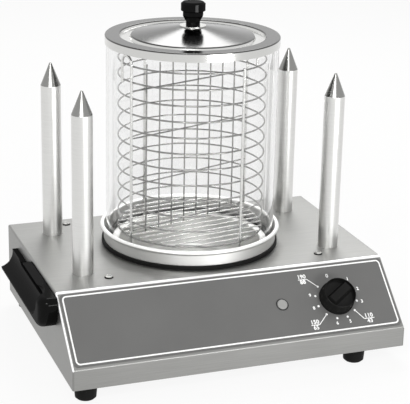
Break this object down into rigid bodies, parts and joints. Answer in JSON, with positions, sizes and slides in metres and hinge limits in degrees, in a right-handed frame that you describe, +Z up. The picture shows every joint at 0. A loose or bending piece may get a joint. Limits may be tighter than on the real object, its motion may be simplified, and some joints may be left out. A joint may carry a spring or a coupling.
{
  "type": "hot dog steamer with bun spikes",
  "caption": "Counter-top sausage steamer: a divided wire basket in a lidded glass cylinder over a heated well, beside upright heated spikes that warm hollowed buns.",
  "frame": {"origin": "centre of the bounding box at the plane the feet stand on", "axes": "+X to the right along the front panel, +Y to the back, +Z up along the glass cylinder"},
  "size_m": [0.41, 0.313, 0.3889],
  "materials": {
    "body_steel": "brushed",
    "pan_steel": "polished rim, brushed disc",
    "panel_grey": "satin",
    "rubber_black": "matte",
    "clear_glass": "clear",
    "wire_chrome": "bright",
    "spike_aluminium": "satin",
    "black_bakelite": "semi-gloss",
    "lens_grey": "gloss",
    "fastener_steel": "plated",
    "heater_steel": "dull",
    "switch_plastic": "matte",
    "gland_plastic": "matte",
    "bulb_copper": "drawn"
  },
  "bodies": {
    "body": {"body_shell": "body_steel", "base_plate": "body_steel", "water_pan": "pan_steel", "control_panel": "panel_grey", "foot_front_left": "rubber_black", "foot_rear_left": "rubber_black", "foot_front_right": "rubber_black", "foot_rear_right": "rubber_black", "well_gasket": "rubber_black", "glass_seat": "rubber_black", "spike_front_left": "spike_aluminium", "spike_rear_left": "spike_aluminium", "spike_front_right": "spike_aluminium", "spike_rear_right": "spike_aluminium", "handle_left": "black_bakelite", "pilot_lens": "lens_grey", "base_screws": "fastener_steel", "foot_screws": "fastener_steel", "foot_nuts": "fastener_steel", "spike_washers": "fastener_steel", "spike_nuts": "fastener_steel", "thermostat_nut": "fastener_steel", "handle_screws": "fastener_steel", "clamp_nut": "fastener_steel", "deck_screws": "fastener_steel", "deck_nuts": "fastener_steel", "cartridge_heater_front_left": "heater_steel", "cartridge_heater_rear_left": "heater_steel", "cartridge_heater_front_right": "heater_steel", "cartridge_heater_rear_right": "heater_steel", "heating_element": "heater_steel", "element_clamp": "heater_steel", "heat_shield": "heater_steel", "thermostat": "switch_plastic", "safety_cutout": "switch_plastic", "terminal_block": "switch_plastic", "pilot_lamp": "switch_plastic", "cord_gland": "gland_plastic", "gland_nut": "gland_plastic", "thermostat_bulb": "bulb_copper"},
    "dial": {"dial_knob": "black_bakelite", "dial_spindle": "fastener_steel"},
    "glass": {"glass_cylinder": "clear_glass"},
    "basket": {"basket_rings": "wire_chrome", "basket_uprights": "wire_chrome", "basket_floor": "wire_chrome", "basket_divider": "wire_chrome"},
    "lid": {"lid": "pan_steel", "lid_knob": "black_bakelite", "knob_washer": "fastener_steel", "knob_screw": "fastener_steel"}
  },
  "joints": [
    {"name": "dial_turn", "type": "hinge", "parent": "body", "child": "dial", "pos_m": [0.1325, -0.12405, 0.0723], "axis": [0, -0.6654, 0.7465], "range_deg": [-258, 57]},
    {"name": "glass_lift", "type": "slide", "parent": "body", "child": "glass", "axis": [0, 0, 1], "range_m": [0, 0.04]},
    {"name": "basket_lift", "type": "slide", "parent": "glass", "child": "basket", "axis": [0, 0, 1], "range_m": [0, 0.25]},
    {"name": "lid_lift", "type": "slide", "parent": "basket", "child": "lid", "axis": [0, 0, 1], "range_m": [0, 0.15]}
  ]
}
